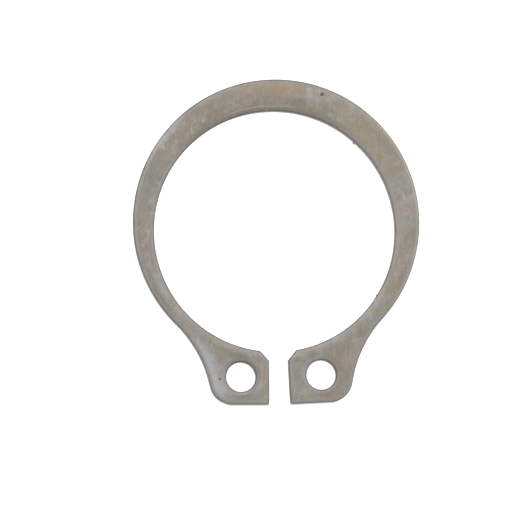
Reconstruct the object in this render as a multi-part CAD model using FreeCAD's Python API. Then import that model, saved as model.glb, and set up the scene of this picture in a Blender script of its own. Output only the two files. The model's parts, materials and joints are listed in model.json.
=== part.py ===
import FreeCAD, Part
import math
import os

# External retaining ring, stamped in one piece from spring steel strip, for a groove in a 20 mm shaft.
# Millimetres. The origin is on the bore's axis at the lower face. +Z runs up through the thickness,
# +Y points to the thick back, and the two lugs with their gap point to -Y.

# Ring
bore_diameter = 18.5       # free bore, before the ring is opened over its shaft
thickness = 1.2
back_section = 2.45        # radial width opposite the gap, the widest
arm_section = 1.05         # radial width that the outer circle leaves on the side of the lugs

# Lugs
lug_depth = 4.04           # from the bore's lowest point to the square ends
lug_width = 4.73           # from the gap wall to the far side of the corner round
lug_corner_radius = 1.79
flank_radius = 9.37        # hollow flank that runs from the corner round into the outer circle
lug_turn = 1.33            # degrees by which each lug is turned back from the gap

# Gap between the lugs
gap_width = 1.62           # at the ends, where it is widest
chamfer_width = 0.65       # lead-in between a gap wall and the bore
chamfer_depth = 0.66       # from the bore's lowest point down to the start of the lead-in

# Plier holes
hole_diameter = 2.27
hole_from_gap = 2.32       # from the gap wall to the hole's centre
hole_from_end = 2.13       # from the square end to the hole's centre

# Marks of the press
punch_shift = 0.16         # outline and plier holes sit this far to +X of the bore and the gap
corner_radius = 0.16       # rounded corners of the gap
edge_roll = 0.12           # rolled edge of the upper face, where the punch went in
burr_break = 0.05          # tumbled edge of the lower face

# Reach of a cutting shape past the blank
overrun = 1.0

# Sizes that follow
bore_radius = bore_diameter / 2
outer_radius = (bore_diameter + back_section + arm_section) / 2
outer_centre_y = (back_section - arm_section) / 2
end_y = -bore_radius - lug_depth
turn = math.radians(lug_turn)


def vector(x, y, z=0.0):
    return FreeCAD.Vector(x, y, z)


def mirrored(place):
    """The same place on the other side of the gap."""
    return vector(-place.x, place.y, place.z)


# Directions of the right-hand lug: along its square end, and up its gap wall
along_end = vector(math.cos(turn), math.sin(turn))
up_wall = vector(-math.sin(turn), math.cos(turn))
gap_corner = vector(gap_width / 2, end_y)


def arc(centre, radius, start, end):
    """The shorter arc of a circle between two places on it."""
    middle = (start - centre) + (end - centre)
    middle.normalize()
    return Part.Arc(start, centre + middle * radius, end).toShape()


def line(start, end):
    return Part.LineSegment(start, end).toShape()


def touching_centre(first, first_radius, second, second_radius, radius):
    """Centre of the circle that touches two others from outside, on the right of the way between them."""
    way = second - first
    distance = way.Length
    way.normalize()
    to_first = first_radius + radius
    to_second = second_radius + radius
    forward = (to_first ** 2 - to_second ** 2 + distance ** 2) / (2 * distance)
    aside = math.sqrt(to_first ** 2 - forward ** 2)
    return first + way * forward + vector(-way.y, way.x) * aside


def outline():
    """Outer edge of the blank: outer circle, hollow flanks, corner rounds and the two square ends."""
    outer_centre = vector(0, outer_centre_y)
    corner_centre = gap_corner + along_end * (lug_width - lug_corner_radius) + up_wall * lug_corner_radius
    flank_centre = touching_centre(outer_centre, outer_radius, corner_centre, lug_corner_radius, flank_radius)
    to_circle = (outer_centre - flank_centre).normalize()
    to_corner = (corner_centre - flank_centre).normalize()
    shoulder = flank_centre + to_circle * flank_radius
    flank_foot = flank_centre + to_corner * flank_radius
    end_foot = corner_centre - up_wall * lug_corner_radius
    middle = gap_corner - along_end * (gap_corner.x / along_end.x)
    back = vector(0, outer_centre_y + outer_radius)
    right = [
        arc(flank_centre, flank_radius, shoulder, flank_foot),
        arc(corner_centre, lug_corner_radius, flank_foot, end_foot),
        line(end_foot, middle),
    ]
    left = [
        line(middle, mirrored(end_foot)),
        arc(mirrored(corner_centre), lug_corner_radius, mirrored(end_foot), mirrored(flank_foot)),
        arc(mirrored(flank_centre), flank_radius, mirrored(flank_foot), mirrored(shoulder)),
    ]
    round_back = Part.Arc(mirrored(shoulder), back, shoulder).toShape()
    return Part.Wire([round_back] + right + left)


def gap_corners():
    """The right-hand corners of the gap: at the end, at the foot of the lead-in and at the bore."""
    wall_length = (lug_depth - chamfer_depth) / math.cos(turn)
    lead_in_foot = gap_corner + up_wall * wall_length
    bore_x = lead_in_foot.x + chamfer_width
    bore_corner = vector(bore_x, -math.sqrt(bore_radius ** 2 - bore_x ** 2))
    return [gap_corner, lead_in_foot, bore_corner]


def gap():
    """What the press takes out between the lugs, from the bore to past their ends."""
    right = [gap_corner - up_wall * overrun] + gap_corners()[1:]
    left = [mirrored(place) for place in reversed(right)]
    loop = right + [vector(0, 0)] + left
    return Part.Face(Part.makePolygon(loop + loop[:1]))


def hole_centres():
    """Centres of the plier holes, right and left."""
    centre = gap_corner + along_end * hole_from_gap + up_wall * hole_from_end
    shift = vector(punch_shift, 0)
    return [centre + shift, mirrored(centre) + shift]


def upright_edges(solid, places):
    """Edges that stand at the given places."""
    found = []
    for edge in solid.Edges:
        foot = vector(edge.Vertexes[0].X, edge.Vertexes[0].Y)
        head = vector(edge.Vertexes[-1].X, edge.Vertexes[-1].Y)
        stands = (foot - head).Length < corner_radius / 10 and edge.Length > thickness / 2
        if stands and any((foot - place).Length < corner_radius / 2 for place in places):
            found.append(edge)
    return found


def level_face(solid, height):
    """The broad flat face at a height."""
    flat = [face for face in solid.Faces if abs(face.BoundBox.ZMin - height) < burr_break / 10]
    flat = [face for face in flat if face.BoundBox.ZLength < burr_break / 10]
    return max(flat, key=lambda face: face.Area)


def retaining_ring():
    """The finished ring."""
    blank = Part.Face(outline())
    blank.translate(vector(punch_shift, 0))
    bore = Part.Face(Part.Wire(Part.makeCircle(bore_radius)))
    ring = blank.cut(bore).cut(gap()).extrude(vector(0, 0, thickness))
    ring = ring.Solids[0]
    corners = gap_corners()
    corners += [mirrored(place) for place in corners]
    ring = ring.makeFillet(corner_radius, upright_edges(ring, corners))
    for centre in hole_centres():
        hole = Part.makeCylinder(hole_diameter / 2, thickness + 2 * overrun, centre - vector(0, 0, overrun))
        ring = ring.cut(hole)
    ring = ring.makeFillet(edge_roll, level_face(ring, thickness).Edges)
    ring = ring.makeChamfer(burr_break, level_face(ring, 0).Edges)
    return ring


os.makedirs("parts", exist_ok=True)
ring = retaining_ring().Solids[0]
ring.exportStep("parts/retaining_ring.step")
print("retaining_ring", "valid", ring.isValid(), "volume", round(ring.Volume, 3), "mm3")
for centre in hole_centres():
    print("plier hole centre", round(centre.x, 3), round(centre.y, 3))
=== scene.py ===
# %% [markdown]
# The ring, and where its sizes come from.
# A retaining ring snaps into a groove round a shaft and keeps a bearing or a wheel in its place. It is
# stamped from spring steel strip as a single piece: a flat ring, widest opposite its gap, with a lug and a
# plier hole on each side of the gap. The imported model is loaded first, and its box gives the thickness.

# %% Load the imported model
import json
import math

import bmesh
import bpy
from mathutils import Matrix, Vector


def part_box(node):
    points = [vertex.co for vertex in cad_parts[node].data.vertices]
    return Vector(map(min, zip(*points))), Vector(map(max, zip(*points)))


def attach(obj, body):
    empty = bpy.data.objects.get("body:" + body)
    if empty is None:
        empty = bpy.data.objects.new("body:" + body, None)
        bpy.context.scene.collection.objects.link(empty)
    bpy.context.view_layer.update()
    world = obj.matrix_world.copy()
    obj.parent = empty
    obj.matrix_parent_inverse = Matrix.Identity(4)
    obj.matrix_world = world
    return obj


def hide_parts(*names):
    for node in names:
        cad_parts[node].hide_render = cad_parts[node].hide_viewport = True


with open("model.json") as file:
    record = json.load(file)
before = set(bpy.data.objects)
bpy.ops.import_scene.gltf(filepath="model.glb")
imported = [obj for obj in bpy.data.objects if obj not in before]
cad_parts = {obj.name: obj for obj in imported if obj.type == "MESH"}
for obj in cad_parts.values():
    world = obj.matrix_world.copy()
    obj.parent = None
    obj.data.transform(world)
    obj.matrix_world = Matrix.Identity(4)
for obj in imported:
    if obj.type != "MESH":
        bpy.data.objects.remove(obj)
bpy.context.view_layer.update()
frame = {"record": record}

mm = 0.001

# %% [markdown]
# Sizes of the ring.
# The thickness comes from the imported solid, and the bore and the plier holes come from its mounts, because
# other parts fit there. The rest of the outline is drawn from the same few values as the solid: two for
# the ring's widths, five for the lugs, three for the gap and one for the shift of the punch. Blender works
# in metres here, so each length is written in millimetres and multiplied by mm.

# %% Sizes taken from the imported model
node_low, node_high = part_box("retaining_ring")
mounts = {mount["name"]: mount for mount in frame["record"]["mounts"]}
thickness = node_high.z - node_low.z
bore_radius = mounts["shaft_bore"]["dims"]["r_mm"] * mm
plier_holes = [mounts["plier_hole_right"], mounts["plier_hole_left"]]
print("thickness", round(thickness / mm, 3), "mm, bore radius", round(bore_radius / mm, 3), "mm")

# %% Sizes of the outline
back_section = 2.45 * mm
arm_section = 1.05 * mm
lug_depth = 4.04 * mm
lug_width = 4.73 * mm
lug_corner_radius = 1.79 * mm
flank_radius = 9.37 * mm
lug_turn = math.radians(1.33)
gap_width = 1.62 * mm
lead_in_width = 0.65 * mm
lead_in_depth = 0.66 * mm
punch_shift = 0.16 * mm
outer_radius = bore_radius + (back_section + arm_section) / 2
print("outer radius", round(outer_radius / mm, 3), "mm")

# %% [markdown]
# Places on the outline.
# The outer edge is a chain of arcs that run into one another without a corner: the big outer circle, a
# hollow flank down to each lug, and the round of the lug's outer corner. Two arcs meet smoothly where the
# line between their centres crosses them, so it is enough to find the centre of each arc. The punch that cut
# the outline sat a little to the right of the one that cut the bore and the gap, and that small shift is
# kept.

# %% Centre of an arc that touches two others
def touching_centre(first, first_radius, second, second_radius, radius):
    """Centre of the circle that touches two others from outside, on the right of the way between them."""
    way = second - first
    distance = way.length
    way.normalize()
    to_first = first_radius + radius
    to_second = second_radius + radius
    forward = (to_first ** 2 - to_second ** 2 + distance ** 2) / (2 * distance)
    aside = math.sqrt(to_first ** 2 - forward ** 2)
    return first + way * forward + Vector((-way.y, way.x, 0)) * aside


# %% Centres and corners of the right half
along_end = Vector((math.cos(lug_turn), math.sin(lug_turn), 0))
up_wall = Vector((-math.sin(lug_turn), math.cos(lug_turn), 0))
bore_centre = Vector((0, 0, 0))
outer_centre = Vector((0, (back_section - arm_section) / 2, 0))
gap_corner = Vector((gap_width / 2, -bore_radius - lug_depth, 0))
round_centre = gap_corner + along_end * (lug_width - lug_corner_radius) + up_wall * lug_corner_radius
flank_centre = touching_centre(outer_centre, outer_radius, round_centre, lug_corner_radius, flank_radius)
shoulder = flank_centre + (outer_centre - flank_centre).normalized() * flank_radius
flank_foot = flank_centre + (round_centre - flank_centre).normalized() * flank_radius
end_foot = round_centre - up_wall * lug_corner_radius
lead_in_foot = gap_corner + up_wall * (lug_depth - lead_in_depth) / math.cos(lug_turn)
lead_in_x = lead_in_foot.x + lead_in_width
bore_corner = Vector((lead_in_x, -math.sqrt(bore_radius ** 2 - lead_in_x ** 2), 0))
print("flank centre in mm:", round(flank_centre.x / mm, 3), round(flank_centre.y / mm, 3))


# %% The left half and the shift of the punch
def left(spot):
    """The same place on the left of the gap."""
    return Vector((-spot.x, spot.y, spot.z))


def punched(spot):
    """A place of the outer edge, moved with its punch."""
    return spot + Vector((punch_shift, 0, 0))


# %% [markdown]
# Draw the outline.
# A single vertex is the pen. Extruding it draws a straight edge, and spinning it about a centre draws an
# arc, so the outline is drawn once round, as it would be with a compass. The pen starts as a small plane
# that is merged to its middle. With no window, a positive spin turns clockwise, so the angle is negated.
# Places that are closer together than the tolerance count as one.

# %% The pen and its two strokes
chord = 0.12 * mm
tolerance = 0.001 * mm


def start_pen(spot):
    """Makes a new mesh with one vertex at a place, and stays in edit mode."""
    bpy.ops.object.select_all(action="DESELECT")
    bpy.ops.mesh.primitive_plane_add(size=mm)
    bpy.ops.object.mode_set(mode="EDIT")
    bpy.ops.mesh.merge(type="CENTER")
    bpy.ops.transform.translate(value=spot)
    return spot


def draw_line(pen, end):
    """Draws a straight edge to a place."""
    bpy.ops.mesh.extrude_vertices_move(TRANSFORM_OT_translate={"value": end - pen})
    return end


def draw_arc(pen, centre, end, way):
    """Draws an arc to a place. The way is 1 for counter-clockwise and -1 for clockwise."""
    start_angle = math.atan2(pen.y - centre.y, pen.x - centre.x)
    end_angle = math.atan2(end.y - centre.y, end.x - centre.x)
    angle = (end_angle - start_angle) * way % math.tau
    steps = max(2, round(angle * (pen - centre).length / chord))
    bpy.ops.mesh.spin(steps=steps, angle=-angle * way, center=centre, axis=(0, 0, 1))
    return end


# %% Draw the outer edge from the right lug over the back to the left lug
pen = start_pen(gap_corner)
ring = bpy.context.object
ring.name = "stamped_ring"
ring.data.name = "stamped_ring"
pen = draw_line(pen, punched(end_foot))
pen = draw_arc(pen, punched(round_centre), punched(flank_foot), 1)
pen = draw_arc(pen, punched(flank_centre), punched(shoulder), -1)
pen = draw_arc(pen, punched(outer_centre), punched(left(shoulder)), 1)
pen = draw_arc(pen, punched(left(flank_centre)), punched(left(flank_foot)), -1)
pen = draw_arc(pen, punched(left(round_centre)), punched(left(end_foot)), 1)
pen = draw_line(pen, left(gap_corner))

# %% Draw the gap and the bore back to the start
pen = draw_line(pen, left(lead_in_foot))
pen = draw_line(pen, left(bore_corner))
pen = draw_arc(pen, bore_centre, bore_corner, -1)
pen = draw_line(pen, lead_in_foot)
pen = draw_line(pen, gap_corner)
bpy.ops.mesh.select_all(action="SELECT")
bpy.ops.mesh.remove_doubles(threshold=tolerance)
print("outline of", len(bmesh.from_edit_mesh(ring.data).verts), "vertices")

# %% [markdown]
# Round the corners of the gap.
# The corners that the punch leaves are not sharp, because a sharp punch corner would chip. A vertex bevel on
# the bare outline rounds them. It moves the new corners along both edges by the offset, so a right angle
# gets a radius as large as the offset, while the blunt corners of the lead-in need a smaller one for the
# same radius.

# %% Select vertices, edges or faces by a test
def pick(kind, test):
    """Selects the parts of one kind that pass a test, and counts them."""
    bpy.ops.mesh.select_mode(type=kind)
    bpy.ops.mesh.select_all(action="DESELECT")
    mesh = bmesh.from_edit_mesh(ring.data)
    mesh.normal_update()
    parts = {"VERT": mesh.verts, "EDGE": mesh.edges, "FACE": mesh.faces}[kind]
    for part in parts:
        part.select = bool(test(part))
    mesh.select_flush_mode()
    bmesh.update_edit_mesh(ring.data)
    return sum(part.select for part in parts)


def pick_vertices(test):
    """Selects the vertices whose place passes a test."""
    return pick("VERT", lambda vertex: test(vertex.co))


def pick_faces(test):
    """Selects the faces whose middle and normal pass a test."""
    return pick("FACE", lambda face: test(face.calc_center_median(), face.normal))


def near(spots, reach):
    """A test for lying within reach of any of some places."""
    return lambda spot: any((spot - other).length < reach for other in spots)


# %% Round the square corners and the lead-in corners
corner_offset = 0.16 * mm
lead_in_offset = 0.07 * mm
corner_reach = 2 * tolerance
square_corners = [gap_corner, left(gap_corner)]
lead_in_corners = [lead_in_foot, left(lead_in_foot), bore_corner, left(bore_corner)]
print("square corners", pick_vertices(near(square_corners, corner_reach)))
bpy.ops.mesh.bevel(offset=corner_offset, offset_type="OFFSET", segments=6, affect="VERTICES")
print("lead-in corners", pick_vertices(near(lead_in_corners, corner_reach)))
bpy.ops.mesh.bevel(offset=lead_in_offset, offset_type="OFFSET", segments=4, affect="VERTICES")

# %% [markdown]
# Make the sheet.
# Two circles are added for the plier holes, where the mounts say, and a fill closes the area between all
# three loops. Filling leaves the holes open, so no cutter is needed. The fill merges vertices that are less
# than 0.00003 units apart. With a metre for the unit that is 0.03 mm, too coarse for the corners here, so
# the mesh is a thousand times as large while it is filled. The sheet is put at the height where the wall
# changes: above it the punch sheared the steel cleanly, and below it the steel tore.

# %% Fill between open edges
def resize_all(factor):
    """Resizes the whole mesh about the origin."""
    bpy.ops.mesh.select_all(action="SELECT")
    bpy.ops.transform.resize(value=(factor, factor, factor), center_override=(0, 0, 0))


def fill_open_edges():
    """Fills the area between all open edges with triangles."""
    resize_all(1 / mm)
    pick("EDGE", lambda edge: not edge.is_manifold)
    bpy.ops.mesh.fill(use_beauty=True)
    resize_all(mm)


# %% Add the plier holes and fill the outline
hole_points = 60
tear_height = 0.52 * mm
for hole in plier_holes:
    hole_centre = Vector((hole["pos_m"][0], hole["pos_m"][1], 0))
    hole_radius = hole["dims"]["r_mm"] * mm
    bpy.ops.mesh.primitive_circle_add(vertices=hole_points, radius=hole_radius, location=hole_centre)
fill_open_edges()
bpy.ops.transform.translate(value=(0, 0, tear_height))
sheet = bmesh.from_edit_mesh(ring.data)
sheet_area = sum(face.calc_area() for face in sheet.faces)
print("sheet of", len(sheet.faces), "faces,", round(sheet_area / mm ** 2, 2), "mm2")

# %% [markdown]
# Raise the wall and roll the upper edge.
# As the punch enters, it drags the surface down along the cut, so the upper edge is softly rolled, and wider
# than it is deep. Extruding the sheet raises the wall, in a long step and a short one, so that the smooth
# shading of the roll ends near the top. Then the top is inset again and again, first steeply and then
# gently, which draws the curve of the roll. In the tight corners the inset vertices meet, so they are merged
# on the way. The long triangles of the fill would turn over as their edge moves in, so the gentle steps each
# start from a new fill. The last inset is level and keeps the flat top's shading flat. Each step is a width
# and a rise in millimetres.

# %% Extrude the wall
steep_steps = [(0.02, 0.026), (0.03, 0.026), (0.04, 0.022), (0.05, 0.015)]
gentle_steps = [(0.06, 0.009), (0.08, 0.005), (0.10, 0.002)]
level_step = (0.05, 0)
roll_depth = sum(rise for width, rise in steep_steps + gentle_steps) * mm
roll_width = sum(width for width, rise in steep_steps + gentle_steps)
bpy.ops.mesh.select_mode(type="FACE")
bpy.ops.mesh.select_all(action="SELECT")
wall_rise = thickness - roll_depth - tear_height
last_rise = 0.03 * mm
bpy.ops.mesh.extrude_region_move(TRANSFORM_OT_translate={"value": (0, 0, wall_rise - last_rise)})
bpy.ops.mesh.extrude_region_move(TRANSFORM_OT_translate={"value": (0, 0, last_rise)})
bpy.ops.mesh.select_all(action="SELECT")
bpy.ops.mesh.normals_make_consistent(inside=False)
print("roll", round(roll_depth / mm, 3), "mm deep and", round(roll_width, 3), "mm wide")

# %% Inset the top to draw the roll
flat_normal = 0.5
wall_top = tear_height + wall_rise


def faces_up(middle, normal):
    """For the faces of the top."""
    return normal.z > flat_normal and middle.z > tear_height + wall_rise / 2


def step_in(width, rise):
    """Insets the selected faces and raises them along their normals."""
    bpy.ops.mesh.inset(thickness=width * mm, depth=rise * mm, use_even_offset=True, use_boundary=True)


def fill_again():
    """Replaces the selected flat faces by a new fill."""
    bpy.ops.mesh.delete(type="FACE")
    fill_open_edges()
    bpy.ops.mesh.normals_make_consistent(inside=False)


crowded = 0.07 * mm
print("top faces", pick_faces(faces_up))
for width, rise in steep_steps:
    step_in(width, rise)
bpy.ops.mesh.remove_doubles(threshold=crowded)
height = wall_top + sum(rise for width, rise in steep_steps) * mm
for width, rise in gentle_steps + [level_step]:
    fill_again()
    pick_faces(lambda middle, normal: middle.z > height - tolerance)
    step_in(width, rise)
    bpy.ops.mesh.remove_doubles(threshold=crowded)
    height += rise * mm
fill_again()
print("faces turned over", pick_faces(lambda middle, normal: normal.z < 0 and middle.z > wall_top))

# %% [markdown]
# Tear the lower wall and break the lower edge.
# Below the sheared band the steel tore away, so the wall leans in by a few hundredths of a millimetre.
# Tumbling has since worn the burr off the lower edge. Both are insets of the underside, the first a long way
# down and the next two short, followed by a level one. The square ends were cut in a stroke of their own, so
# their lower half leans out instead.

# %% Inset the underside
tear_lean = 0.025
edge_break = [(0.020, 0.030), (0.030, 0.020)]
tear_drop = tear_height / mm - sum(drop for width, drop in edge_break)
print("under faces", pick_faces(lambda middle, normal: normal.z < -flat_normal))
for width, drop in [(tear_lean, tear_drop)] + edge_break + [level_step]:
    step_in(width, drop)
fill_again()

# %% Lean the square ends
end_lean = 0.05 * mm


def at_lower_end(spot):
    """For the lower vertices of the square ends."""
    return spot.z < tear_height + tolerance and spot.y < gap_corner.y + corner_offset


print("vertices of the ends", pick_vertices(at_lower_end))
bpy.ops.transform.translate(value=(0, -end_lean, 0))

# %% Measure the solid
solid = bmesh.from_edit_mesh(ring.data)
open_edges = sum(not edge.is_manifold for edge in solid.edges)
print("open edges", open_edges, "volume", round(solid.calc_volume() / mm ** 3, 2), "mm3")

# %% [markdown]
# Burrs on the bore.
# The punch left two tiny burrs on the lower edge of the bore that tumbling hasn't taken off. Each is a few
# vertices of the wall, pulled in towards the middle of the bore.

# %% Pull out the burrs
bore_burrs = [((6.27, 6.55), 0.13), ((7.71, -5.01), 0.08)]
burr_top = 0.6 * mm
burr_reach = 0.07 * mm


def in_burr(root):
    """A test for lying low on the wall and near a place of the bore."""
    return lambda spot: spot.z < burr_top and (spot.xy - root.xy).length < burr_reach


for (x, y), length in bore_burrs:
    outward = Vector((x, y, 0)).normalized()
    print("burr vertices", pick_vertices(in_burr(outward * bore_radius)))
    bpy.ops.transform.translate(value=-outward * length * mm)

# %% [markdown]
# Pits in the strip.
# Rust or a grain of scale left two small pits in the rolled face. A flattened ball is the right shape for a
# pit, and a Boolean modifier takes it out of the face, with a crisp rim that no bump texture gives.

# %% Cut the pits
bpy.ops.object.mode_set(mode="OBJECT")
pits = [((3.97, 10.44), 0.14, 0.07), ((-4.53, -11.21), 0.09, 0.04)]
squash = 0.85
for (x, y), radius, depth in pits:
    pit_middle = Vector((x * mm, y * mm, thickness))
    bpy.ops.object.select_all(action="DESELECT")
    bpy.ops.mesh.primitive_ico_sphere_add(subdivisions=3, radius=radius * mm, location=pit_middle)
    cutter = bpy.context.object
    bpy.ops.object.mode_set(mode="EDIT")
    bpy.ops.mesh.select_all(action="SELECT")
    bpy.ops.transform.resize(value=(1, squash, depth / radius), center_override=pit_middle)
    bpy.ops.object.mode_set(mode="OBJECT")
    bpy.context.view_layer.objects.active = ring
    modifier = ring.modifiers.new("pit", "BOOLEAN")
    modifier.operation = "DIFFERENCE"
    modifier.solver = "EXACT"
    modifier.object = cutter
    bpy.ops.object.modifier_apply(modifier=modifier.name)
    bpy.data.objects.remove(cutter)
print("ring of", len(ring.data.vertices), "vertices and", len(ring.data.polygons), "faces")

# %% [markdown]
# Smooth shading.
# The rolled edge is a row of narrow bands, and smooth shading makes one curve of them. Smoothing by angle
# keeps the rims of the pits and the lower edge crisp.

# %% Shade the ring
smooth_angle = math.radians(44)
bpy.ops.object.select_all(action="DESELECT")
ring.select_set(True)
bpy.context.view_layer.objects.active = ring
bpy.ops.object.shade_smooth_by_angle(angle=smooth_angle)

# %% [markdown]
# Tools for the materials.
# Object coordinates are in metres and lie still on the piece, and a Mapping node makes millimetres of them,
# so a stain can be placed with the same numbers as a corner of the outline. Colours are written as they look
# on a screen, from 0 to 255, and are made linear, as the shader needs them.

# %% Colours
def screen(red, green, blue):
    """The linear colour of one that is written as it looks on a screen."""
    levels = [value / 255 for value in (red, green, blue)]
    return [level / 12.92 if level < 0.04045 else ((level + 0.055) / 1.055) ** 2.4 for level in levels] + [1]


# %% Nodes and links
def feed(tree, node, feeds):
    """Feeds inputs of a node with values or with outputs of other nodes."""
    for name, source in feeds.items():
        if isinstance(source, bpy.types.NodeSocket):
            tree.links.new(source, node.inputs[name])
        else:
            node.inputs[name].default_value = source


def add_node(tree, kind, title, feeds, **settings):
    """A node of a kind, with a title, its settings and what feeds its inputs."""
    node = tree.nodes.new(kind)
    node.label = title
    for name, value in settings.items():
        setattr(node, name, value)
    feed(tree, node, feeds)
    return node


def arithmetic(tree, operation, title, first, second):
    """A Math node between two sides, each a number or the output of another node."""
    node = add_node(tree, "ShaderNodeMath", title, {0: first, 1: second}, operation=operation)
    return node.outputs["Value"]


def vector_step(tree, operation, title, first, second):
    """A Vector Math node. A length and a dot product give a number."""
    node = add_node(tree, "ShaderNodeVectorMath", title, {0: first, 1: second}, operation=operation)
    return node.outputs["Value" if operation in ("LENGTH", "DOT_PRODUCT") else "Vector"]


# %% Ramps, mixes, noise and bumps
def ramp(tree, title, value, start, end):
    """Runs softly from 0 at the start to 1 at the end."""
    feeds = {"Value": value, "From Min": start, "From Max": end}
    node = add_node(tree, "ShaderNodeMapRange", title, feeds, interpolation_type="SMOOTHSTEP")
    return node.outputs["Result"]


def blend(tree, title, mask, below, above):
    """Lays one colour over another through a mask."""
    node = add_node(tree, "ShaderNodeMix", title, {"Factor": mask}, data_type="RGBA")
    colour_inputs = [index for index, socket in enumerate(node.inputs) if socket.type == "RGBA"]
    feed(tree, node, dict(zip(colour_inputs, (below, above))))
    return next(socket for socket in node.outputs if socket.type == "RGBA")


def tint(tree, title, colour, tone):
    """Makes a colour lighter or darker by a tone that is about 1."""
    node = add_node(tree, "ShaderNodeVectorMath", title, {0: colour, "Scale": tone}, operation="SCALE")
    return node.outputs["Vector"]


def add_noise(tree, title, vector, scale, detail, roughness):
    """Noise between 0 and 1."""
    feeds = {"Vector": vector, "Scale": scale, "Detail": detail, "Roughness": roughness}
    return add_node(tree, "ShaderNodeTexNoise", title, feeds).outputs["Fac"]


def add_bump(tree, title, height, strength, distance, below):
    """A bump over nothing or over another bump. It gives what feeds the next bump or the shader."""
    feeds = {"Height": height, "Strength": strength, "Distance": distance, **below}
    return {"Normal": add_node(tree, "ShaderNodeBump", title, feeds).outputs["Normal"]}


# %% Start a node group
def start_group(name, inputs, outputs):
    """A node group with a vector and other named inputs, with first values, and named outputs."""
    group = bpy.data.node_groups.new(name, "ShaderNodeTree")
    for title, value in {"Vector": (0, 0, 0), **inputs}.items():
        kind = "NodeSocketVector" if isinstance(value, tuple) else "NodeSocketFloat"
        group.interface.new_socket(title, in_out="INPUT", socket_type=kind).default_value = value
    for title in outputs:
        group.interface.new_socket(title, in_out="OUTPUT", socket_type="NodeSocketFloat")
    given = group.nodes.new("NodeGroupInput").outputs
    result = group.nodes.new("NodeGroupOutput").inputs
    return group, given, result


def way_from_centre(tree, given):
    """The way from a group's centre to a place, seen from above."""
    way = vector_step(tree, "SUBTRACT", "from the centre", given["Vector"], given["Centre"])
    return vector_step(tree, "MULTIPLY", "level", way, (1, 1, 0))


# %% [markdown]
# Steel texture.
# Strip steel isn't one grey. Rolling leaves fine lines along the strip, tumbling leaves a grit of tiny
# dents, and the sheared wall has lines up and down. All are noise, stretched by different amounts, so one
# group makes them. Its Pitch is the size of a mark along each axis in millimetres. It gives a tone to
# multiply the colour by, and a height for the bump. Noise mostly stays between 0.25 and 0.75, so its swing
# about the middle is widened four times before it becomes a tone.

# %% Group: steel texture
noise_middle = 0.5
full_swing = 4
texture_inputs = {"Pitch": (1, 1, 1), "Strength": 0.1}
texture_group, given, result = start_group("steel_texture", texture_inputs, ["Tone", "Height"])
stretched = vector_step(texture_group, "DIVIDE", "stretch", given["Vector"], given["Pitch"])
noise = add_noise(texture_group, "marks", stretched, scale=1, detail=2, roughness=0.6)
centred = arithmetic(texture_group, "SUBTRACT", "centred", noise, noise_middle)
swing = arithmetic(texture_group, "MULTIPLY", "swing", centred, given["Strength"])
wide_swing = arithmetic(texture_group, "MULTIPLY", "full swing", swing, full_swing)
texture_group.links.new(arithmetic(texture_group, "ADD", "tone", wide_swing, 1), result["Tone"])
texture_group.links.new(noise, result["Height"])

# %% [markdown]
# Clouds and stains.
# Hardening in hot salt leaves a thin film of oxide on the steel, in faint straw, brown, rose, olive and
# blue. Part of it lies in soft clouds anywhere, and noise makes those. Other stains lie in one place each,
# so a second group makes a soft oval of a given centre, reach and turn, whose rim wanders with noise. It
# fades all the way from its centre, so it looks about half as large as its reach.

# %% Group: clouds
cloud_inputs = {"Shift": (0, 0, 0), "Pitch": (1, 1, 1), "Start": 0.4, "End": 0.6}
cloud_group, given, result = start_group("oxide_clouds", cloud_inputs, ["Mask"])
stretched = vector_step(cloud_group, "DIVIDE", "stretch", given["Vector"], given["Pitch"])
moved = vector_step(cloud_group, "ADD", "other part of the noise", stretched, given["Shift"])
noise = add_noise(cloud_group, "clouds", moved, scale=1, detail=3, roughness=0.55)
mask = ramp(cloud_group, "mask", noise, given["Start"], given["End"])
cloud_group.links.new(mask, result["Mask"])

# %% Group: stain
full_wander = 2
stain_inputs = {"Centre": (0, 0, 0), "Reach": (1, 1, 1), "Turn": 0, "Wander": 1.4, "Strength": 1}
stain_group, given, result = start_group("heat_stain", stain_inputs, ["Mask"])
back = {"Vector": way_from_centre(stain_group, given), "Angle": given["Turn"]}
settings = {"rotation_type": "Z_AXIS", "invert": True}
turned = add_node(stain_group, "ShaderNodeVectorRotate", "turned back", back, **settings).outputs["Vector"]
shares = vector_step(stain_group, "DIVIDE", "share of the reach", turned, given["Reach"])
oval = vector_step(stain_group, "LENGTH", "oval", shares, (0, 0, 0))
noise = add_noise(stain_group, "ragged rim", given["Vector"], scale=1.6, detail=4, roughness=0.6)
centred = arithmetic(stain_group, "SUBTRACT", "centred", noise, noise_middle)
wander = arithmetic(stain_group, "MULTIPLY", "wander", centred, given["Wander"])
wide_wander = arithmetic(stain_group, "MULTIPLY", "full wander", wander, full_wander)
distance = arithmetic(stain_group, "ADD", "ragged oval", oval, wide_wander)
mask = ramp(stain_group, "mask", distance, 1, 0)
mask = arithmetic(stain_group, "MULTIPLY", "strength", mask, given["Strength"])
stain_group.links.new(mask, result["Mask"])

# %% [markdown]
# Bands along a circle.
# The press and the tumbling leave bands that run along the bore or the outer edge. This group makes one. It
# looks at the distance from the centre of a circle, and it fades out along the band, away from a given
# direction. Gone and Full are the cosines of the angles from it where the band is gone and full. Share runs
# from 0 on the circle to 1 at the far side of the band, and a negative width lies inside the circle.

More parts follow.
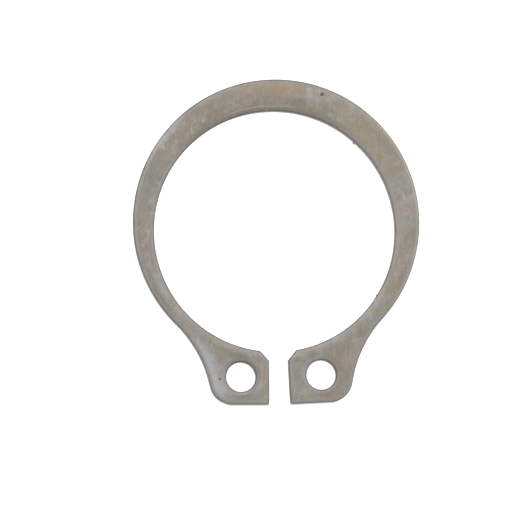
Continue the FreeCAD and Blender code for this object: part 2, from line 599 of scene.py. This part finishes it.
# %% Group: band
half_share = 0.5
across_inputs = {"Centre": (0, 0, 0), "Radius": 1, "Width": 0.3, "Rim": 0.1}
along_inputs = {"Towards": (0, 1, 0), "Gone": -1.1, "Full": -1.05}
band_inputs = {**across_inputs, **along_inputs, "Strength": 1}
band_group, given, result = start_group("edge_band", band_inputs, ["Mask", "Share"])
level = way_from_centre(band_group, given)
radius = vector_step(band_group, "LENGTH", "radius", level, (0, 0, 0))
beyond = arithmetic(band_group, "SUBTRACT", "beyond the circle", radius, given["Radius"])
share = arithmetic(band_group, "DIVIDE", "share of the width", beyond, given["Width"])
band_group.links.new(share, result["Share"])
off_middle = arithmetic(band_group, "SUBTRACT", "off the band's middle", share, half_share)
to_middle = arithmetic(band_group, "ABSOLUTE", "to the band's middle", off_middle, 0)
rim_start = arithmetic(band_group, "ADD", "start of the rim", half_share, given["Rim"])
across_mask = ramp(band_group, "across", to_middle, rim_start, half_share)
heading = vector_step(band_group, "NORMALIZE", "heading", level, (0, 0, 0))
facing = vector_step(band_group, "DOT_PRODUCT", "facing", heading, given["Towards"])
along_mask = ramp(band_group, "along", facing, given["Gone"], given["Full"])
both = arithmetic(band_group, "MULTIPLY", "both", across_mask, along_mask)
mask = arithmetic(band_group, "MULTIPLY", "strength", both, given["Strength"])
band_group.links.new(mask, result["Mask"])


# %% Place a group in a material
def use_group(tree, group, title, vector, values):
    """Places a node group, fed with the coordinates in millimetres, and gives its outputs."""
    return add_node(tree, "ShaderNodeGroup", title, {"Vector": vector, **values}, node_tree=group).outputs


def lay_over(tree, group, title, vector, values, below, above):
    """Lays one colour over another through the mask of a node group."""
    mask = use_group(tree, group, title, vector, values)["Mask"]
    return blend(tree, title, mask, below, above)


def new_material(name, values):
    """A material with its nodes and its shader, which has the given values."""
    material = bpy.data.materials.new(name)
    material.use_nodes = True
    tree = material.node_tree
    shader = tree.nodes["Principled BSDF"]
    feed(tree, shader, values)
    return material, tree, shader


def start_material(name):
    """A metal material, with its nodes, its shader and the coordinates in millimetres."""
    material, tree, shader = new_material(name, {"Metallic": 1})
    in_metres = add_node(tree, "ShaderNodeTexCoord", "on the piece", {}).outputs["Object"]
    feeds = {"Vector": in_metres, "Scale": (1 / mm, 1 / mm, 1 / mm)}
    mapping = add_node(tree, "ShaderNodeMapping", "millimetres", feeds)
    return material, tree, shader, mapping.outputs["Vector"]


# %% [markdown]
# The rolled face.
# This is what one sees of the ring: dull grey steel with a brown cast, clouded by the oxide film, with the
# fine lines of the rolling mill running from the back towards the lugs. The colour is built up in layers as
# on the real part: steel, two wide bands that are duller, clouds, placed stains, the edges, then the lines
# and the grit. The strength of a layer is the share that it covers of what lies below, and a later row lies
# over an earlier one.

# %% Colours of the oxide film
bare_steel = screen(145, 142, 138)
brown_film = screen(138, 129, 118)
pale_film = screen(168, 164, 157)
straw_film = screen(153, 139, 109)
rose_film = screen(163, 142, 132)
tan_film = screen(150, 134, 118)
blue_film = screen(145, 148, 152)
olive_film = screen(137, 137, 114)
silver_film = screen(168, 169, 174)
rolled_grey = screen(146, 142, 138)
rubbed_grey = screen(131, 125, 116)
dull_grey = screen(127, 122, 115)
rubbed_rose = screen(154, 141, 132)
worn_grey = screen(133, 132, 134)
bright_grain = screen(206, 198, 180)
cool_grey = screen(132, 129, 130)
# A paler grey for the painted highlight on the rim where it faces the side lamp.
rim_highlight_colour = screen(176, 173, 164)
# A darker grey for the painted shade on the steepest part of the roll.
steep_edge_shade = screen(132, 125, 121)

# %% Steel and clouds of the rolled face
face_material, tree, shader, vector = start_material("rolled_strip_face")
clouds = [
    ("brown clouds", (1.3, 1.7, 1), (0, 0, 0), 0.36, 0.72, brown_film, 0.95),
    ("pale clouds", (0.45, 0.75, 1), (31, 7, 3), 0.50, 0.80, pale_film, 0.85),
    ("rose streaks", (0.60, 1.0, 1), (5, 40, 9), 0.50, 0.80, rose_film, 0.85),
    ("olive streaks", (0.60, 1.1, 1), (60, 2, 9), 0.50, 0.76, olive_film, 1.0),
    ("straw streaks", (0.70, 1.2, 1), (9, 77, 2), 0.54, 0.82, straw_film, 0.9),
    ("blue streaks", (0.65, 1.1, 1), (17, 52, 8), 0.54, 0.80, blue_film, 0.75),
    ("brown specks", (0.20, 0.28, 1), (44, 5, 6), 0.54, 0.72, brown_film, 0.95),
]
bore = {"Radius": bore_radius / mm, "Centre": (0, 0, 0)}
outer = {"Radius": outer_radius / mm, "Centre": (punch_shift / mm, outer_centre.y / mm, 0)}
worn_overlap = 0.2
beyond_outer = {**outer, "Radius": outer_radius / mm + worn_overlap}
to_back = (-0.1, 0.995, 0)
to_left = (-1, -0.02, 0)
dull_back = {**bore, "Width": 1.0, "Rim": 0.4, "Towards": to_back, "Gone": 0.68, "Full": 0.95}
worn_left = {**beyond_outer, "Width": -1.1, "Rim": 0.35, "Towards": to_left, "Gone": 0.75, "Full": 0.95}
colour = lay_over(tree, band_group, "dull back", vector, dull_back, bare_steel, dull_grey)
colour = lay_over(tree, band_group, "worn left", vector, worn_left, colour, worn_grey)
cloud_masks = {}
for title, pitch, shift, start, end, film, strength in clouds:
    values = {"Pitch": pitch, "Shift": shift, "Start": start, "End": end}
    cloud_masks[title] = use_group(tree, cloud_group, title, vector, values)["Mask"]
    share = arithmetic(tree, "MULTIPLY", title, cloud_masks[title], strength)
    colour = blend(tree, title, share, colour, film)
print(len(clouds), "kinds of clouds")

# %% Stains of the rolled face
stains = [
    ("straw over the back", (0.2, 11.0), (4.6, 1.0), 0, straw_film, 0.55, 1.4),
    ("straw over the right shoulder", (7.5, 7.2), (6.0, 1.6), 134, straw_film, 0.45, 0.8),
    ("straw over the right arm", (9.6, -3.6), (3.5, 1.2), 70, straw_film, 0.25, 0.8),
    ("straw on the left shoulder", (-5.0, 9.4), (2.2, 1.0), 32, straw_film, 0.40, 1.4),
    ("rose at the back", (-2.25, 10.75), (1.1, 0.95), 20, rose_film, 0.4, 1.4),
    ("blue below the rose", (-2.9, 9.65), (0.8, 0.3), 15, blue_film, 0.6, 0.8),
    ("brown left of the rose", (-3.5, 10.5), (1.9, 0.9), 18, brown_film, 0.8, 0.7),
    ("dull on the left shoulder's rim", (-6.7, 9.15), (1.3, 0.7), 37, dull_grey, 0.7, 0.5),
    ("tan at the top of the back", (1.6, 11.3), (1.6, 0.8), -7, tan_film, 0.8, 0.5),
    ("straw at the back", (1.85, 10.85), (0.75, 0.85), 0, straw_film, 0.5, 1.2),
    ("pale by the straw", (3.0, 10.8), (0.45, 0.8), 0, pale_film, 0.7, 0.8),
    ("silver by the pit", (3.45, 10.4), (0.7, 1.2), 0, silver_film, 0.35, 0.8),
    ("pale after the pit", (4.6, 10.0), (0.9, 0.6), -30, pale_film, 0.4, 1.2),
    ("brown after the pit", (4.9, 9.75), (0.8, 0.4), -30, brown_film, 0.7, 1.4),
    ("silver on the left shoulder", (-8.4, 7.4), (2.5, 0.6), 50, silver_film, 0.7, 0.7),
    ("silver down the left lug", (-5.5, -10.2), (3.3, 1.25), 112, silver_film, 0.8, 0.5),
    ("silver on the left lug foot", (-4.7, -12.0), (1.6, 1.6), 20, silver_film, 0.7, 0.6),
    ("olive over the left hole", (-4.0, -8.95), (1.7, 0.7), -28, olive_film, 0.7, 1.2),
    ("brown over the left hole", (-3.2, -9.5), (1.5, 0.55), -10, rubbed_grey, 0.7, 1.0),
    ("brown beside the left hole", (-4.4, -9.8), (0.6, 0.6), 0, brown_film, 0.7, 0.8),
    ("dark under the left hole", (-2.9, -12.45), (1.6, 0.8), 5, dull_grey, 0.75, 0.5),
    ("tan by the left gap", (-1.15, -10.8), (0.45, 1.3), 0, tan_film, 0.65, 0.8),
    ("brown over the right hole", (4.3, -9.5), (1.6, 0.9), 30, brown_film, 0.85, 0.7),
    ("brown on the right lug", (5.2, -10.9), (1.0, 2.2), 10, brown_film, 0.6, 1.2),
    ("blue by the right flank", (5.6, -7.9), (0.9, 0.5), 40, blue_film, 0.5, 0.8),
    ("blue inside the right arm", (9.7, 1.0), (1.4, 0.5), 90, blue_film, 0.5, 0.8),
    ("brown under the right hole", (3.6, -12.75), (1.6, 0.45), 0, brown_film, 0.6, 1.2),
    ("brown on the right", (9.7, -4.0), (3.0, 0.8), 68, brown_film, 0.75, 1.0),
    ("tan on the right", (8.5, -6.0), (2.0, 0.6), 55, tan_film, 0.7, 0.8),
    ("brown on the left shoulder", (-5.3, 9.7), (2.8, 1.0), 33, brown_film, 0.9, 1.0),
    ("brown by the right gap", (1.4, -11.0), (0.55, 1.6), 0, brown_film, 0.5, 1.2),
    ("grey inside the left arm", (-8.6, 4.4), (2.6, 0.7), 118, worn_grey, 0.6, 0.6),
    ("brown outside the left arm", (-8.8, -5.1), (4.8, 0.6), 119, rubbed_grey, 0.85, 0.6),
    ("pale inside the left arm", (-8.7, -4.2), (2.8, 0.5), 116, pale_film, 0.5, 0.8),
    ("pale on the left", (-9.7, 0.4), (1.6, 0.5), 90, pale_film, 0.3, 0.8),
    ("olive on the left arm", (-9.9, 3.5), (1.8, 0.6), 103, olive_film, 0.6, 0.8),
    ("silver by the right gap", (1.9, -9.5), (0.8, 0.6), 0, silver_film, 0.25, 0.8),
    ("grey by the right gap", (1.0, -10.6), (0.7, 1.3), 0, worn_grey, 0.7, 0.8),
    ("brown beside the right hole", (5.1, -9.2), (1.2, 0.6), 40, brown_film, 0.9, 0.8),
    ("brown on the right lug foot", (4.5, -12.5), (1.0, 0.5), 20, brown_film, 0.7, 0.8),
    ("brown on the right shoulder", (8.7, 6.5), (3.2, 0.6), 130, brown_film, 0.75, 1.0),
    ("silver across the right arm", (10.1, 2.0), (1.8, 0.6), 30, silver_film, 0.4, 0.6),
    ("tan on the right flank", (6.1, -8.9), (0.9, 0.4), 62, tan_film, 0.7, 0.6),
    ("brown inside the left arm", (-8.1, 5.3), (2.2, 0.8), 124, brown_film, 0.75, 0.5),
    ("silver by the left gap", (-1.7, -11.9), (0.7, 0.8), 0, silver_film, 0.4, 0.8),
    ("grey on the left arm's rim", (-10.3, 3.8), (1.1, 0.8), 105, worn_grey, 0.7, 0.5),
    ("brown under the straw", (0.1, 10.1), (1.3, 0.7), 0, brown_film, 0.8, 0.8),
]
for title, centre, reach, turn, film, strength, wander in stains:
    oval = {"Centre": (*centre, 0), "Reach": (*reach, 1), "Turn": math.radians(turn)}
    values = {**oval, "Wander": wander, "Strength": strength}
    colour = lay_over(tree, stain_group, title, vector, values, colour, film)
print(len(stains), "stains")

# %% [markdown]
# The edges of the face.
# The edge lies lower than the face, and that is enough to find it: the mask is the distance from the middle
# of the thickness, which works for the upper and the lower edge at once. The steepest part of the roll is
# painted darker, a painted shade. Bands are rubbed along the bore, and beside the one at the back runs a thin
# pale line, a painted highlight. The rim of the outer edge is cooler along the back and painted paler on both
# sides, a painted highlight, and beside each hole the face is painted darker, most on the side where the
# hole's wall shows: painted shade.

# %% Masks of the rolled edge
half_thickness = thickness / mm / 2
axes = add_node(tree, "ShaderNodeSeparateXYZ", "axes", {"Vector": vector}).outputs
from_middle = arithmetic(tree, "SUBTRACT", "from the middle", axes["Z"], half_thickness)
distance = arithmetic(tree, "ABSOLUTE", "distance", from_middle, 0)


def below_face(title, start, full, most):
    """Runs from 0 to the most between two depths below the upper face, and also above the lower one."""
    mask = ramp(tree, title, distance, half_thickness - start, half_thickness - full)
    return arithmetic(tree, "MULTIPLY", title, mask, most)


edge_share = below_face("rolled edge", start=0.0004, full=0.0035, most=0.8)
# The steepest part of the roll is painted darker here: painted shade.
steep_shade_share = below_face("painted shade on the steep edge", start=0.035, full=0.085, most=0.2)
rougher = below_face("rougher edge", start=0.008, full=0.05, most=0.35)

# %% Bands along the bore and the outer edge
rim_overlap = 0.06
line_from_bore = 0.37
outer_rim = {**outer, "Radius": outer_radius / mm + rim_overlap}
beside_rubbed = {**bore, "Radius": bore_radius / mm + line_from_bore}
rubbed_left = {**bore, "Width": 0.30, "Rim": 0.3, "Towards": (-0.94, 0.34, 0), "Gone": 0.80, "Full": 0.93}
rubbed_back = {**bore, "Width": 0.40, "Rim": 0.12, "Towards": to_back, "Gone": 0.62, "Full": 0.9}
# A thin pale line beside the rubbed band at the back: a painted highlight where the roll catches the light.
painted_highlight_line = {**beside_rubbed, "Width": 0.05, "Rim": 0.6, "Towards": to_back, "Gone": 0.93, "Full": 0.99}
cool_rim = {**outer, "Width": -0.26, "Rim": 0.5, "Towards": (-0.25, 0.97, 0), "Gone": 0.75, "Full": 0.93}
# The rim facing right is painted paler: a painted highlight where it faces the side lamp.
right_rim_highlight = {**outer_rim, "Width": -0.18, "Rim": 0.5, "Towards": (0.99, 0.1, 0), "Gone": 0.6, "Full": 0.9}
to_shoulder = (-0.79, 0.61, 0)
# The rim at the left shoulder, where it faces the main lamp, is painted silver: a painted highlight.
shoulder_rim_highlight = {**outer_rim, "Width": -0.28, "Rim": 0.6, "Towards": to_shoulder, "Gone": 0.975, "Full": 0.998}

# %% Painted shade beside the plier holes
at_hole = {"Radius": 1.05, "Rim": 0.4}
right_hole, left_hole = [{**at_hole, "Centre": Vector(hole["pos_m"]) / mm} for hole in plier_holes]
# Beside each hole the face is painted darker, most on the side where the hole's wall shows: painted shade.
left_hole_shade = {**left_hole, "Width": 0.36, "Towards": (0.7, 0.7, 0), "Gone": -0.7, "Full": 0.4}
right_hole_shade = {**right_hole, "Width": 0.55, "Towards": (0.97, -0.2, 0), "Gone": -0.6, "Full": 0.6}


# %% Lay the edges over the face
def lay_band(title, values, strength, below, film):
    """Lays a colour over the face along a band."""
    return lay_over(tree, band_group, title, vector, {**values, "Strength": strength}, below, film)


colour = lay_band("rubbed left", rubbed_left, 0.7, colour, rubbed_rose)
colour = blend(tree, "rolled edge", edge_share, colour, rolled_grey)
colour = lay_band("rubbed back", rubbed_back, 0.9, colour, rubbed_grey)
# Painted shade beside the plier holes.
colour = lay_band("painted shade beside the left hole", left_hole_shade, 0.6, colour, dull_grey)
colour = lay_band("painted shade beside the right hole", right_hole_shade, 0.5, colour, dull_grey)
# Painted highlight along the back of the bore.
colour = lay_band("painted highlight line", painted_highlight_line, 0.55, colour, pale_film)
# Painted shade on the steepest part of the roll.
colour = blend(tree, "painted shade on the steep edge", steep_shade_share, colour, steep_edge_shade)
colour = lay_band("cool rim", cool_rim, 0.6, colour, cool_grey)
# Painted highlight on the rim that faces right.
colour = lay_band("painted highlight on the right rim", right_rim_highlight, 0.45, colour, rim_highlight_colour)
# Painted highlight on the rim at the left shoulder.
colour = lay_band("painted highlight on the shoulder rim", shoulder_rim_highlight, 0.35, colour, silver_film)

# %% Lines and grit of the rolled face
lines = use_group(tree, texture_group, "rolling lines", vector, {"Pitch": (0.15, 1.1, 1), "Strength": 0.06})
grit = use_group(tree, texture_group, "grit", vector, {"Pitch": (0.13, 0.13, 0.13), "Strength": 0.08})
colour = tint(tree, "rolling lines", colour, lines["Tone"])
colour = tint(tree, "grit", colour, grit["Tone"])
grains = {"Pitch": (0.14, 0.17, 0.5), "Shift": (3, 8, 1), "Start": 0.68, "End": 0.76}
colour = lay_over(tree, cloud_group, "bright grains", vector, grains, colour, bright_grain)
feed(tree, shader, {"Base Color": colour})

# %% Roughness and bump of the rolled face
mark_depth = 0.008 * mm
feeds = {"Value": cloud_masks["brown clouds"], "To Min": 0.42, "To Max": 0.52}
roughness = add_node(tree, "ShaderNodeMapRange", "roughness", feeds).outputs["Result"]
feed(tree, shader, {"Roughness": arithmetic(tree, "ADD", "with the edge", roughness, rougher)})
heights = arithmetic(tree, "ADD", "marks", lines["Height"], grit["Height"])
marks_bump = add_bump(tree, "marks", heights, 0.5, mark_depth, {})

# %% Dish of the edges
dish_width = 0.66
dish_start = 0.1
dish_depth = 0.028 * mm
outer_band = use_group(tree, band_group, "from the outer edge", vector, {**outer, "Width": -dish_width})
bore_band = use_group(tree, band_group, "from the bore", vector, {**bore, "Width": dish_width})
nearer = arithmetic(tree, "MINIMUM", "nearer edge", outer_band["Share"], bore_band["Share"])
dish = ramp(tree, "dish", nearer, dish_start, 1)
feed(tree, shader, add_bump(tree, "dish", dish, 1, dish_depth, marks_bump))

# %% [markdown]
# The wall.
# The wall has two bands. The upper one was sheared, so it is smooth, with fine lines up and down. The lower
# one was torn, so it is rough, dark and crystalline. The line between them wanders, because steel doesn't
# tear at one height, so noise changes the height before the ramp. The square ends are painted a little
# lighter, fading into the rest of the wall round the corners, partly the steel of their own cut and partly a
# painted highlight where their leaning lower half catches the light from above.

# %% Bands of the wall
sheared_steel = screen(120, 113, 111)
torn_steel = screen(100, 94, 91)
border_above = 0.04
border_below = 0.03
wall_material, tree, shader, vector = start_material("sheared_wall")
axes = add_node(tree, "ShaderNodeSeparateXYZ", "axes", {"Vector": vector}).outputs
border = use_group(tree, texture_group, "wandering border", vector, {"Pitch": (0.5, 0.5, 9), "Strength": 0.1})
wandering = arithmetic(tree, "MULTIPLY", "wandering height", axes["Z"], border["Tone"])
torn = ramp(tree, "torn band", wandering, tear_height / mm + border_above, tear_height / mm - border_below)
colour = blend(tree, "bands", torn, sheared_steel, torn_steel)

# %% Square ends, lines and grain of the wall
# Lighter steel for the square ends: partly their own cut, partly a painted highlight where they lean out into
# the light.
end_steel_and_highlight = screen(180, 175, 170)
end_height = gap_corner.y / mm
end_gone = 0.60
end_full = 0.04
shear = use_group(tree, texture_group, "shear lines", vector, {"Pitch": (0.06, 0.06, 1.2), "Strength": 0.08})
grain = use_group(tree, texture_group, "torn grain", vector, {"Pitch": (0.05, 0.05, 0.05), "Strength": 0.10})
# Where the painted highlight of the square ends lies.
end_highlight_mask = ramp(tree, "square ends", axes["Y"], end_height + end_gone, end_height + end_full)
colour = blend(tree, "square ends", end_highlight_mask, colour, end_steel_and_highlight)
colour = tint(tree, "shear lines", colour, shear["Tone"])
colour = tint(tree, "torn grain", colour, grain["Tone"])
feed(tree, shader, {"Base Color": colour})

# %% Roughness and bump of the wall
grain_share = 3
grain_depth = 0.01 * mm
feeds = {"Value": torn, "To Min": 0.45, "To Max": 0.7}
roughness = add_node(tree, "ShaderNodeMapRange", "roughness", feeds).outputs["Result"]
feed(tree, shader, {"Roughness": roughness})
torn_height = arithmetic(tree, "MULTIPLY", "torn grain", grain["Height"], torn)
deep_grain = arithmetic(tree, "MULTIPLY", "deep grain", torn_height, grain_share)
heights = arithmetic(tree, "ADD", "marks", shear["Height"], deep_grain)
feed(tree, shader, add_bump(tree, "marks", heights, 0.7, grain_depth, {}))

# %% [markdown]
# The pits.
# Dirt and oxide fill the pits, so they are dull and dark and not metal. A fine noise breaks up their colour.

# %% Pit material
pit_material, tree, shader, vector = start_material("dirty_pit")
feed(tree, shader, {"Metallic": 0, "Roughness": 0.85})
dirt = {"Pitch": (0.08, 0.08, 0.08), "Start": 0.35, "End": 0.65}
dark_dirt = screen(112, 94, 94)
light_dirt = screen(140, 124, 120)
feed(tree, shader, {"Base Color": lay_over(tree, cloud_group, "dirt", vector, dirt, dark_dirt, light_dirt)})

# %% [markdown]
# Give each face its material.
# The slots are filled in order, and faces get the number of their slot: steep faces are wall, faces inside a
# pit's rim are pit, and all the others keep the first slot.

# %% Assign the materials
wall_normal = 0.4


def on_wall(middle, normal):
    """For steep faces."""
    return abs(normal.z) < wall_normal


def in_pit(middle, normal):
    """For faces below the face of the ring, inside the rim of a pit."""
    for (x, y), radius, depth in pits:
        close = (middle.xy / mm - Vector((x, y))).length < radius
        if close and middle.z < thickness - tolerance:
            return True
    return False


for material in (face_material, wall_material, pit_material):
    ring.data.materials.append(material)
bpy.ops.object.mode_set(mode="EDIT")
for index, test in ((1, on_wall), (2, in_pit)):
    ring.active_material_index = index
    print(ring.data.materials[index].name, pick_faces(test), "faces")
    bpy.ops.object.material_slot_assign()
bpy.ops.object.mode_set(mode="OBJECT")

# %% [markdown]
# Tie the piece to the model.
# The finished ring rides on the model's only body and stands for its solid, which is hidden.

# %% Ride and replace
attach(ring, "root")
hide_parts("retaining_ring")

# %% [markdown]
# Floor.
# The ring lies on a plain white sheet. The sheet glows a little where the camera or a reflection sees it,
# which keeps it white next to dark steel, and it still takes the ring's soft shadow.

# %% Rays that show the white
def seen_rays(tree):
    """1 for rays from the camera and for reflected and refracted rays, else 0."""
    rays = add_node(tree, "ShaderNodeLightPath", "rays", {}).outputs
    seen = arithmetic(tree, "MAXIMUM", "camera or glossy", rays["Is Camera Ray"], rays["Is Glossy Ray"])
    return arithmetic(tree, "MAXIMUM", "or transmission", seen, rays["Is Transmission Ray"])


# %% Floor
floor_size = 0.6
floor_drop = 0.01 * mm
floor_glow = 0.85
white = (1, 1, 1, 1)
paper = {"Base Color": (0.9, 0.9, 0.9, 1), "Roughness": 0.9, "Specular IOR Level": 0, "Emission Color": white}
bpy.ops.object.select_all(action="DESELECT")
bpy.ops.mesh.primitive_plane_add(size=floor_size, location=(0, 0, -floor_drop))
floor = bpy.context.object
floor.name = "floor"
floor_material, tree, shader = new_material("white_sheet", paper)
glow = arithmetic(tree, "MULTIPLY", "glow", seen_rays(tree), floor_glow)
feed(tree, shader, {"Emission Strength": glow})
floor.data.materials.append(floor_material)

# %% [markdown]
# Light.
# White surroundings and two large soft lamps, as in a light tent: a main lamp beyond the back of the ring
# and a weaker one at the right. A grey card towards the lugs keeps the edges that face it a little darker.
# Nothing is bright enough to burn out the pale steel, and its colour comes out as it was written.

# %% Surroundings
sky_light = 0.6
world = bpy.data.worlds.new("light_tent")
bpy.context.scene.world = world
world.use_nodes = True
tree = world.node_tree
extra = arithmetic(tree, "MULTIPLY", "white for seen rays", seen_rays(tree), 1 - sky_light)
strength = arithmetic(tree, "ADD", "strength", extra, sky_light)
feed(tree, tree.nodes["Background"], {"Color": white, "Strength": strength})


# %% Lamps
def soft_lamp(name, place, size, power):
    """A square lamp that looks at the ring and isn't seen by the camera."""
    bpy.ops.object.light_add(type="AREA", location=place)
    lamp = bpy.context.object
    lamp.name = name
    lamp.data.size = size
    lamp.data.energy = power
    lamp.rotation_euler = (-Vector(place)).to_track_quat("-Z", "Y").to_euler()
    lamp.visible_camera = False


soft_lamp("main_lamp", place=(-0.14, 0.30, 0.42), size=0.35, power=0.60)
soft_lamp("fill_lamp", place=(0.36, 0.16, 0.38), size=0.35, power=0.36)

# %% Grey card
card_place = Vector((-0.10, -0.36, 0.22))
card_size = (0.80, 0.30, 1)
card_tilt = (-card_place).to_track_quat("Z", "Y").to_euler()
bpy.ops.mesh.primitive_plane_add(size=1, location=card_place, rotation=card_tilt)
card = bpy.context.object
card.name = "dark_card"
card.scale = card_size
card_material, tree, shader = new_material("dark_card", {"Base Color": (0.75, 0.75, 0.75, 1), "Roughness": 1})
card.data.materials.append(card_material)
card.visible_camera = False

# %% [markdown]
# Camera.
# The ring is looked at from nearly straight above, through a long lens, so its near and far sides look the
# same size. The camera leans about four degrees to the left and as much towards the lugs, so a thin line of
# the wall shows wherever it faces that way. The scale of the picture fixes the distance: one pixel shows
# 0.0766 mm.

# %% Camera
picture_width = 529
pixel = 0.07659 * mm
lens = 600
sensor = 36
picture_turn = math.radians(1.78)
lean_to_lugs = math.tan(math.radians(4.5))
lean_left = math.tan(math.radians(4.0))
picture_up = Vector((math.sin(picture_turn), math.cos(picture_turn), 0))
picture_right = Vector((math.cos(picture_turn), -math.sin(picture_turn), 0))
towards = (Vector((0, 0, 1)) - lean_left * picture_right - lean_to_lugs * picture_up).normalized()
bore_column = 274.71
bore_row = 231.12
aim = Vector((0, 0, thickness))
aim += (picture_width / 2 - bore_column) * pixel * picture_right
aim += (bore_row - picture_width / 2) * pixel * picture_up
camera_distance = pixel * picture_width * lens / sensor
bpy.ops.object.camera_add(location=aim + towards * camera_distance)
camera = bpy.context.object
camera.data.lens = lens
camera.data.sensor_width = sensor
camera.data.clip_start = 0.01
across = picture_up.cross(towards).normalized()
upright = towards.cross(across)
camera.rotation_euler = Matrix((across, upright, towards)).transposed().to_euler()
bpy.context.scene.camera = camera
bpy.context.scene.view_settings.view_transform = "Standard"
print("camera at", [round(value, 4) for value in camera.location])
